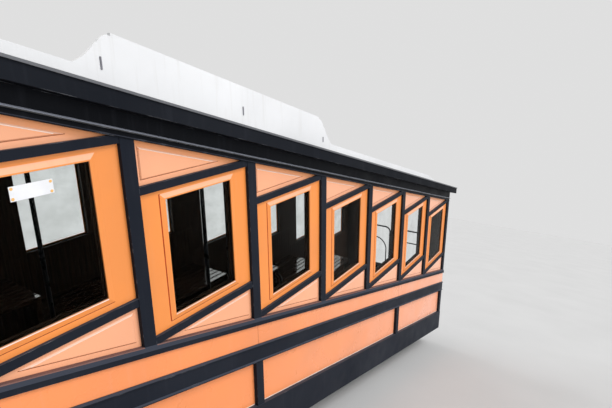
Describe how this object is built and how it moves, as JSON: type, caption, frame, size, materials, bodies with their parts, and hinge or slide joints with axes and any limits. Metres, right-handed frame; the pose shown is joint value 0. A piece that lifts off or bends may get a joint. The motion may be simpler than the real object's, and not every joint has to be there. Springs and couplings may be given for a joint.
{
  "type": "funicular car",
  "caption": "Stepped timber funicular car with plumb windows in a sloping body, blank roof signs, tiered floor, slatted benches, end gates and flanged wheelsets.",
  "frame": {"origin": "centre of the bounding box at the lowest point of the wheel flanges", "axes": "+X down the track and parallel to it, +Y to the left looking down the track, +Z square to the track plane. The body's posts are plumb on a track that falls 17 degrees, so they lean that much uphill in this frame."},
  "size_m": [10.6344, 1.976, 3.3281],
  "materials": {
    "worn_steel": "worn",
    "slat_wood": "varnished",
    "rubber": "matt",
    "trim_paint": "gloss",
    "grey_moulding": "satin",
    "orange_paint": "satin",
    "floor_wood": "worn",
    "black_steel": "gloss",
    "frame_steel": "worn",
    "brown_wood": "varnished",
    "roof_canvas": "matt",
    "white_paint": "satin",
    "pale_orange_paint": "satin",
    "window_glass": "clear"
  },
  "bodies": {
    "car_body": {"axle_boxes": "worn_steel", "bench_legs": "slat_wood", "benches_left": "slat_wood", "benches_right": "slat_wood", "buffers": "rubber", "door_casings": "trim_paint", "drip_edges": "grey_moulding", "eaves_beads": "grey_moulding", "end_beams": "trim_paint", "end_cornices": "trim_paint", "end_wall_downhill": "orange_paint", "end_wall_uphill": "orange_paint", "fascias": "trim_paint", "floor_tiers": "floor_wood", "hoops": "black_steel", "horn_plates": "frame_steel", "lining_left": "brown_wood", "lining_right": "brown_wood", "poles": "black_steel", "roof": "roof_canvas", "roof_ribs": "brown_wood", "rope_clevises": "worn_steel", "side_frame_left": "trim_paint", "side_frame_right": "trim_paint", "side_panels_left": "orange_paint", "side_panels_right": "orange_paint", "sign_boards": "white_paint", "soffits": "trim_paint", "springs": "rubber", "triangle_panels_left": "pale_orange_paint", "triangle_panels_right": "pale_orange_paint", "underframe": "frame_steel", "uphill_hood": "orange_paint", "window_frames_left": "orange_paint", "window_frames_right": "orange_paint", "window_glass": "window_glass"},
    "wheelset_uphill": {"axle_uphill": "worn_steel", "wheels_uphill": "worn_steel"},
    "wheelset_downhill": {"axle_downhill": "worn_steel", "wheels_downhill": "worn_steel"},
    "gate_downhill_left": {"gate_downhill_left": "black_steel"},
    "gate_downhill_right": {"gate_downhill_right": "black_steel"},
    "gate_uphill_left": {"gate_uphill_left": "black_steel"},
    "gate_uphill_right": {"gate_uphill_right": "black_steel"}
  },
  "joints": [
    {"name": "wheelset_uphill_turn", "type": "hinge", "parent": "car_body", "child": "wheelset_uphill", "pos_m": [-2.0817, 0, 0.225], "axis": [0, 1, 0], "continuous": true},
    {"name": "wheelset_downhill_turn", "type": "hinge", "parent": "car_body", "child": "wheelset_downhill", "pos_m": [2.3183, 0, 0.225], "axis": [0, 1, 0], "continuous": true},
    {"name": "gate_uphill_right_hinge", "type": "hinge", "parent": "car_body", "child": "gate_uphill_right", "pos_m": [-4.38806, -0.513, 0.4868], "axis": [0.2924, 0, -0.9563], "range_deg": [0, 90]},
    {"name": "gate_uphill_left_hinge", "type": "hinge", "parent": "car_body", "child": "gate_uphill_left", "pos_m": [-4.38806, 0.513, 0.4868], "axis": [-0.2924, 0, 0.9563], "range_deg": [0, 90]},
    {"name": "gate_downhill_right_hinge", "type": "hinge", "parent": "car_body", "child": "gate_downhill_right", "pos_m": [5.08786, -0.513, 0.75403], "axis": [0.2924, 0, -0.9563], "range_deg": [0, 90]},
    {"name": "gate_downhill_left_hinge", "type": "hinge", "parent": "car_body", "child": "gate_downhill_left", "pos_m": [5.08786, 0.513, 0.75403], "axis": [-0.2924, 0, 0.9563], "range_deg": [0, 90]}
  ]
}
